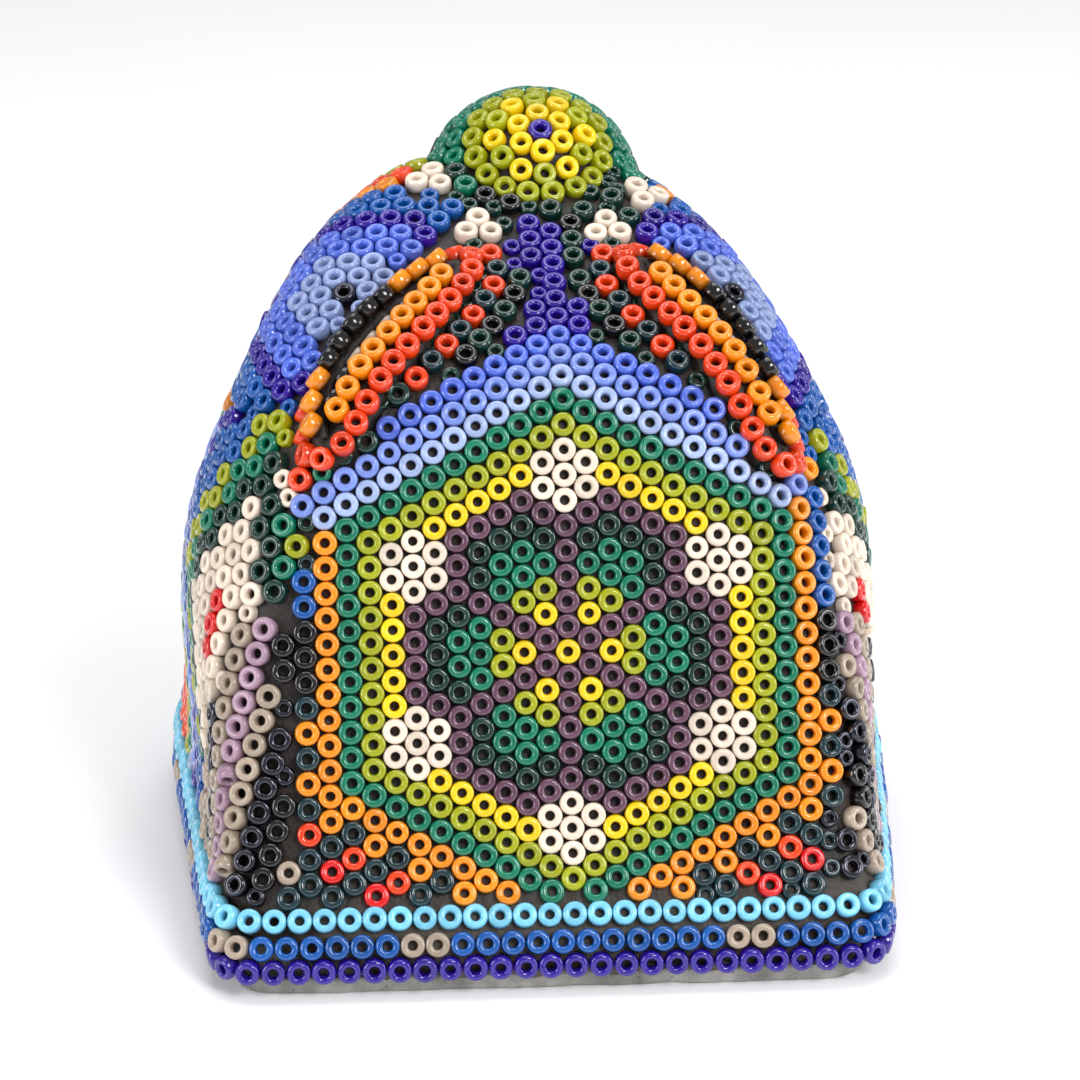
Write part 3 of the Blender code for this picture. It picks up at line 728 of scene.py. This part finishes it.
def new_material(name):
    material = bpy.data.materials.new(name)
    material.use_nodes = True
    return material, material.node_tree.nodes, material.node_tree.links


def noise(nodes, links, scale, detail=3.0, roughness=0.55, coordinates=None):
    """Noise in the object's own space."""
    if coordinates is None:
        coordinates = nodes.new("ShaderNodeTexCoord").outputs["Object"]
    texture = nodes.new("ShaderNodeTexNoise")
    texture.inputs["Scale"].default_value = scale
    texture.inputs["Detail"].default_value = detail
    texture.inputs["Roughness"].default_value = roughness
    links.new(coordinates, texture.inputs["Vector"])
    return texture.outputs["Fac"]


def ramp(nodes, links, factor, stops):
    """Colour ramp; stops are (place, colour)."""
    node = nodes.new("ShaderNodeValToRGB")
    elements = node.color_ramp.elements
    while len(elements) < len(stops):
        elements.new(0.5)
    for element, (place, colour) in zip(elements, stops):
        element.position = place
        element.color = colour
    links.new(factor, node.inputs["Fac"])
    return node.outputs["Color"]


def mix_colours(nodes, links, factor, first, second):
    node = nodes.new("ShaderNodeMix")
    node.data_type = "RGBA"
    for name, value in (("Factor", factor), ("A", first), ("B", second)):
        socket = node.inputs[name]
        if isinstance(value, bpy.types.NodeSocket):
            links.new(value, socket)
        else:
            socket.default_value = value
    return node.outputs["Result"]


def bump(nodes, links, height, strength, distance):
    node = nodes.new("ShaderNodeBump")
    node.inputs["Strength"].default_value = strength
    node.inputs["Distance"].default_value = distance
    links.new(height, node.inputs["Height"])
    return node.outputs["Normal"]


def bead_material(name):
    """Opaque pressed glass: each bead has its own tone, and its half towards the wax is painted darker in the
    wax's brown, as painted shade where it sinks into the wax.
    """
    rgb, roughness, metallic, subsurface = COLOURS[name]
    material, nodes, links = new_material("bead_" + name)
    shader = nodes["Principled BSDF"]
    shader.inputs["Roughness"].default_value = roughness
    shader.inputs["Metallic"].default_value = metallic
    shader.inputs["IOR"].default_value = 1.52
    shader.inputs["Coat Weight"].default_value = 0.35
    shader.inputs["Coat Roughness"].default_value = 0.06
    shader.inputs["Subsurface Weight"].default_value = subsurface
    shader.inputs["Subsurface Radius"].default_value = (0.0006, 0.0005, 0.0004)
    tone = nodes.new("ShaderNodeAttribute")
    tone.attribute_name = "tone"
    own = ramp(nodes, links, tone.outputs["Fac"],
               [(0.0, linear(rgb, 0.62)), (0.5, linear(rgb, 0.84)), (1.0, linear(rgb, 1.0))])
    streaks = ramp(nodes, links, noise(nodes, links, 1400.0),
                   [(0.35, (0.9, 0.9, 0.9, 1)), (0.7, (1, 1, 1, 1))])
    cloudy = nodes.new("ShaderNodeMix")
    cloudy.data_type = "RGBA"
    cloudy.blend_type = "MULTIPLY"
    cloudy.inputs["Factor"].default_value = 1.0
    links.new(own, cloudy.inputs["A"])
    links.new(streaks, cloudy.inputs["B"])
    # painted shade: the half of each bead towards the wax is darkened towards the wax's brown, most at its
    # inner end
    painted_foot_shade = nodes.new("ShaderNodeAttribute")
    painted_foot_shade.attribute_name = "painted_foot_shade"
    painted_shade_amount = ramp(nodes, links, painted_foot_shade.outputs["Fac"], [(0.5, (0, 0, 0, 1)), (1.0, (0.75, 0.75, 0.75, 1))])
    links.new(mix_colours(nodes, links, painted_shade_amount, cloudy.outputs["Result"], linear((26, 17, 13))),
              shader.inputs["Base Color"])
    links.new(bump(nodes, links, noise(nodes, links, 2200.0, 2.0), 0.10, 0.0002), shader.inputs["Normal"])
    return material


def wax_material():
    """Dark beeswax and resin, thumbed down between the beads, dusty towards the base."""
    material, nodes, links = new_material("dark_beeswax")
    shader = nodes["Principled BSDF"]
    place = nodes.new("ShaderNodeTexCoord").outputs["Object"]
    lumps = noise(nodes, links, 420.0, 5.0, 0.6, place)
    brown = ramp(nodes, links, lumps,
                 [(0.3, linear((14, 9, 7))), (0.55, linear((32, 20, 15))), (0.8, linear((62, 42, 31)))])
    height = nodes.new("ShaderNodeSeparateXYZ")
    links.new(place, height.inputs["Vector"])
    low = nodes.new("ShaderNodeMapRange")
    low.inputs["From Min"].default_value = 0.010
    low.inputs["From Max"].default_value = 0.001
    low.inputs["To Max"].default_value = 0.7
    links.new(height.outputs["Z"], low.inputs["Value"])
    links.new(mix_colours(nodes, links, low.outputs["Result"], brown, linear((104, 92, 78))),
              shader.inputs["Base Color"])
    gloss = nodes.new("ShaderNodeMapRange")
    gloss.inputs["To Min"].default_value = 0.34
    gloss.inputs["To Max"].default_value = 0.7
    links.new(lumps, gloss.inputs["Value"])
    links.new(gloss.outputs["Result"], shader.inputs["Roughness"])
    links.new(bump(nodes, links, noise(nodes, links, 1300.0, 4.0), 0.5, 0.0004), shader.inputs["Normal"])
    return material


def core_material():
    """Rough unpainted grey cast, stained and pitted, with painted shade darkening the pits."""
    material, nodes, links = new_material("grey_cast")
    shader = nodes["Principled BSDF"]
    shader.inputs["Roughness"].default_value = 0.92
    place = nodes.new("ShaderNodeTexCoord").outputs["Object"]
    stains = noise(nodes, links, 160.0, 6.0, 0.65, place)
    grey = ramp(nodes, links, stains, [(0.3, linear((112, 110, 104))), (0.55, linear((168, 166, 160))),
                                       (0.8, linear((206, 204, 198)))])
    # painted shade: small dark spots stand for the shade inside the cast's pits, multiplied over the stained
    # grey
    pits = nodes.new("ShaderNodeTexVoronoi")
    pits.inputs["Scale"].default_value = 900.0
    links.new(place, pits.inputs["Vector"])
    pit_shade = ramp(nodes, links, pits.outputs["Distance"], [(0.02, (0.35, 0.33, 0.3, 1)), (0.2, (1, 1, 1, 1))])
    stained_and_pit_shaded = nodes.new("ShaderNodeMix")
    stained_and_pit_shaded.data_type = "RGBA"
    stained_and_pit_shaded.blend_type = "MULTIPLY"
    stained_and_pit_shaded.inputs["Factor"].default_value = 0.8
    links.new(grey, stained_and_pit_shaded.inputs["A"])
    links.new(pit_shade, stained_and_pit_shaded.inputs["B"])
    links.new(stained_and_pit_shaded.outputs["Result"], shader.inputs["Base Color"])
    links.new(bump(nodes, links, noise(nodes, links, 900.0, 6.0, 0.7), 0.8, 0.0005), shader.inputs["Normal"])
    return material


# ---- meshes -------------------------------------------------------------------------------------------

def piece(name, vertices, faces, materials, smooth=True):
    """Object of a mesh in millimetres, riding on the only body."""
    mesh = bpy.data.meshes.new(name)
    mesh.from_pydata([tuple(v) for v in np.array(vertices) * MM], [], faces)
    for material in materials:
        mesh.materials.append(material)
    mesh.polygons.foreach_set("use_smooth", [smooth] * len(mesh.polygons))
    mesh.update()
    item = bpy.data.objects.new(name, mesh)
    bpy.context.scene.collection.objects.link(item)
    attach(item, "root")
    return item


def bead_template():
    """Vertices, faces and painted shade of one bead, darker towards its end in the wax: a rounded ring turned
    about its hole.
    """
    middle, half = (BEAD_RADIUS + HOLE_RADIUS) / 2, (BEAD_RADIUS - HOLE_RADIUS) / 2
    profile = []
    for k in range(PROFILE_POINTS):
        turn = 2 * math.pi * k / PROFILE_POINTS
        c, s = math.cos(turn), math.sin(turn)
        profile.append((middle + half * math.copysign(abs(c) ** 0.72, c),
                        BEAD_LENGTH / 2 * math.copysign(abs(s) ** 0.58, s)))
    vertices, faces = [], []
    for i in range(BEAD_SIDES):
        turn = 2 * math.pi * i / BEAD_SIDES
        for r, z in profile:
            vertices.append((r * math.cos(turn), r * math.sin(turn), z))
        j = (i + 1) % BEAD_SIDES
        for k in range(PROFILE_POINTS):
            m = (k + 1) % PROFILE_POINTS
            faces.append((i * PROFILE_POINTS + k, j * PROFILE_POINTS + k,
                          j * PROFILE_POINTS + m, i * PROFILE_POINTS + m))
    vertices = np.array(vertices)
    # painted shade at each vertex: 0 at the bead's outer end, rising to 1 at its end in the wax
    return vertices, np.array(faces), np.clip(0.5 - vertices[:, 2] / BEAD_LENGTH, 0, 1)


def make_beads(materials):
    """One piece for each field, holding its beads, in place of the field's shell."""
    template, ring, painted_foot_shade = bead_template()
    groups = {}
    for index, zone in enumerate(beads.zones):
        groups.setdefault(zone, []).append(index)
    for zone in sorted(groups):
        vertices, faces, paints, tones, painted_foot_shades = [], [], [], [], []
        used = sorted({beads.colours[i] for i in groups[zone]})
        for index in groups[zone]:
            careful = 0.5 if beads.fixed[index] else 1.0
            axis = Vector(beads.axes[index]).normalized()
            lean = Vector([RNG.gauss(0, 0.055 * careful) for _ in range(3)])
            if RNG.random() < 0.004 and not beads.fixed[index]:
                lean = axis.orthogonal() * 1.6
            axis = (axis + lean).normalized()
            turn = axis.to_track_quat("Z", "Y").to_matrix()
            spin = Matrix.Rotation(RNG.random() * 6.28, 3, "Z")
            size = beads.sizes[index] * (1 + RNG.gauss(0, 0.016))
            scale = Matrix.Diagonal((size, size, size * (1 + RNG.gauss(0, 0.03))))
            lift = RNG.gauss(-0.06, 0.045)
            place = np.array(beads.places[index]) + np.array(beads.axes[index]) * lift
            shape = template @ np.array(turn @ spin @ scale).T + place
            shape += np.minimum(BOX[1] - shape.max(axis=0), 0) + np.maximum(BOX[0] - shape.min(axis=0), 0)
            faces.append(ring + len(vertices) * len(template))
            vertices.append(shape)
            paints += [used.index(beads.colours[index])] * len(ring)
            tones.append(np.full(len(template), min(max(RNG.gauss(0.5, 0.16), 0), 1)))
            painted_foot_shades.append(painted_foot_shade)
        item = piece("beads_" + zone, np.concatenate(vertices), np.concatenate(faces).tolist(),
                     [materials[colour] for colour in used])
        item.data.polygons.foreach_set("material_index", paints)
        # the painted shade of each bead's foot is stored as a point attribute for its material
        for attribute, values in (("tone", tones), ("painted_foot_shade", painted_foot_shades)):
            layer = item.data.attributes.new(attribute, "FLOAT", "POINT")
            layer.data.foreach_set("value", np.concatenate(values).astype(np.float32))
        if not zone.endswith("_ear_cup"):
            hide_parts(zone)
    return set(groups)


def lumpy(points, amount, scale, seed):
    """Smooth random heights at points."""
    waves = np.random.default_rng(seed)
    total = np.zeros(len(points))
    for octave in range(1, 4):
        for _ in range(6):
            way = waves.normal(size=3)
            way *= scale * octave / np.linalg.norm(way)
            total += np.sin(points @ way + waves.uniform(0, 6.28)) / octave
    return amount * total / 4


def make_wax(material):
    """The wax coat, welled up between the beads."""
    rays = skin_cloud(0.0)[2]
    guess = CENTRE + rays * 30
    points, faces, rays = skin_cloud(WAX_LEVEL + lumpy(guess, 0.10, 1.7, 3))
    drop = np.where(rays[:, 2] < -0.2, (CENTRE[2] - FOOT_TOP + 0.2) / np.maximum(-rays[:, 2], 1e-6), 1e9)
    reach = np.linalg.norm(points - CENTRE, axis=1)
    points = CENTRE + rays * np.minimum(reach, drop)[:, None]
    item = piece("wax_between_beads", points, faces, [material])
    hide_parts("wax_coat")


def make_foot(material):
    """Bare, slightly uneven foot of the cast core under the lowest row."""
    columns, heights = 300, (0.0, 0.12, 0.4, 0.8, 1.2, FOOT_TOP)
    turns = np.arange(columns) * 2 * math.pi / columns
    ways = np.stack([np.sin(turns), -np.cos(turns), np.zeros(columns)], axis=1)
    rows = []
    for height in heights:
        origins = np.repeat(np.array([[0.0, 0.0, max(height, 0.5)]]), columns, axis=0)
        points = hit_skin(origins, ways, 0.1, near=15.0, far=45.0)
        points[:, 2] = height
        inward = -0.25 if height < 0.1 else 0.0
        rows.append(points + ways * (inward + lumpy(points, 0.22, 0.8, 5))[:, None])
    vertices = [p for row in rows for p in row]
    faces = []
    for r in range(len(rows) - 1):
        for i in range(columns):
            j = (i + 1) % columns
            faces.append((r * columns + i, r * columns + j, (r + 1) * columns + j, (r + 1) * columns + i))
    faces.append(list(range(columns))[::-1])
    faces.append(list(range((len(rows) - 1) * columns, len(rows) * columns)))
    item = piece("core_foot", vertices, faces, [material])
    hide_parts("cast_core")


def make_ear_wax(side, name, material):
    """Rounded wall of wax that the ear's beads are set in, sloping down to the head outside."""
    count, half = 96, 0.9
    base, ways, backs, _, up = ear_loop(side, count)
    tops = np.array([ear_height(back) for back in backs])
    section = ((-half, None), (-half, -0.9), (-0.6, -0.3), (0.0, -0.1), (0.6, -0.35), (1.3, -1.5),
               (1.7, -2.6), (1.8, None))
    rows = []
    for offset, drop in section:
        points = base + ways * offset
        if drop is None:
            points = settle(points, -0.6, rounds=4)
        else:
            points = points + up * (tops + drop + lumpy(base, 0.08, 1.5, 7))[:, None]
        rows.append(points)
    vertices = [p for row in rows for p in row]
    faces = []
    for r in range(len(rows)):
        s = (r + 1) % len(rows)
        for i in range(count):
            j = (i + 1) % count
            faces.append((r * count + i, s * count + i, s * count + j, r * count + j))
    item = piece(name + "_ear_wax", vertices, faces, [material])
    bm = bmesh.new()
    bm.from_mesh(item.data)
    bmesh.ops.recalc_face_normals(bm, faces=bm.faces)
    bm.to_mesh(item.data)
    bm.free()
    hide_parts(name + "_ear_cup")


# ---- studio -------------------------------------------------------------------------------------------

def aim(item, target):
    item.rotation_euler = (Vector(target) - item.location).to_track_quat("-Z", "Y").to_euler()


def softbox(name, place, target, size, power):
    light = bpy.data.lights.new(name, "AREA")
    light.shape = "RECTANGLE"
    light.size, light.size_y = size
    light.energy = power
    item = bpy.data.objects.new(name, light)
    bpy.context.scene.collection.objects.link(item)
    item.location = place
    aim(item, target)


def make_studio():
    """White floor and world, soft boxes, and the camera at the photograph's view."""
    bm = bmesh.new()
    bmesh.ops.create_grid(bm, x_segments=1, y_segments=1, size=1.5)
    mesh = bpy.data.meshes.new("floor")
    bm.to_mesh(mesh)
    bm.free()
    floor = bpy.data.objects.new("floor", mesh)
    bpy.context.scene.collection.objects.link(floor)
    material, nodes, links = new_material("floor_white")
    shader = nodes["Principled BSDF"]
    shader.inputs["Roughness"].default_value = 0.9
    pale = ramp(nodes, links, noise(nodes, links, 6.0),
                [(0.3, (0.93, 0.93, 0.93, 1)), (0.7, (0.96, 0.96, 0.96, 1))])
    links.new(pale, shader.inputs["Base Color"])
    mesh.materials.append(material)
    world = bpy.data.worlds.new("studio")
    world.use_nodes = True
    world.node_tree.nodes["Background"].inputs["Color"].default_value = (1.0, 1.0, 1.0, 1.0)
    world.node_tree.nodes["Background"].inputs["Strength"].default_value = 0.42
    bpy.context.scene.world = world
    middle = (0.0, 0.0, 0.03)
    softbox("key", (0.22, -0.42, 0.42), middle, (0.20, 0.20), 1.9)
    softbox("left", (-0.45, -0.25, 0.22), middle, (0.22, 0.30), 1.4)
    softbox("right", (0.48, -0.12, 0.16), middle, (0.20, 0.30), 1.2)
    softbox("top", (0.0, 0.12, 0.55), middle, (0.4, 0.4), 1.6)
    bpy.context.scene.view_settings.view_transform = "Standard"

    azimuth, elevation = math.radians(CAMERA_AZIMUTH), math.radians(CAMERA_ELEVATION)
    back = Vector((math.sin(azimuth) * math.cos(elevation), -math.cos(azimuth) * math.cos(elevation),
                   math.sin(elevation)))
    right = Vector((math.cos(azimuth), math.sin(azimuth), 0))
    up = back.cross(right)
    target = Vector((0, -23.0, ROSETTE_Z)) - right * 2.52 + up * 10.17
    camera = bpy.data.objects.new("camera", bpy.data.cameras.new("camera"))
    bpy.context.scene.collection.objects.link(camera)
    camera.data.sensor_width = 36.0
    camera.data.lens = CAMERA_LENS
    camera.data.clip_end = 10.0
    camera.matrix_world = Matrix.Translation((target + back * CAMERA_DISTANCE) * MM) @ \
        Matrix((right, up, back)).transposed().to_4x4()
    bpy.context.scene.camera = camera


# ---- assembly -----------------------------------------------------------------------------------------

def main():
    set_rim()
    for side, name in SIDES:
        set_ear(side, name)
    set_nose()
    set_crown(0, 13)
    for side, _ in SIDES:
        set_ear_foot(side)
    set_crown(14, 20)
    set_bands()
    set_sides()
    cloud = skin_cloud(MIDDLE)[0]
    fill_gaps(cloud, 0.86 * PITCH, 1.0, 0.0)
    relax(8)
    fill_gaps(cloud, 0.66 * PITCH, 0.8, 0.25)
    materials = {name: bead_material(name) for name in COLOURS}
    wax = wax_material()
    done = make_beads(materials)
    make_wax(wax)
    make_foot(core_material())
    for side, name in SIDES:
        make_ear_wax(side, name, wax)
    for name in sorted(frame["nodes"]):
        if name not in done and not frame["nodes"][name].hide_render:
            print("no beads for", name)
            frame["nodes"][name].data.materials.clear()
            frame["nodes"][name].data.materials.append(wax)
    print(len(beads.places), "beads")
    make_studio()


main()
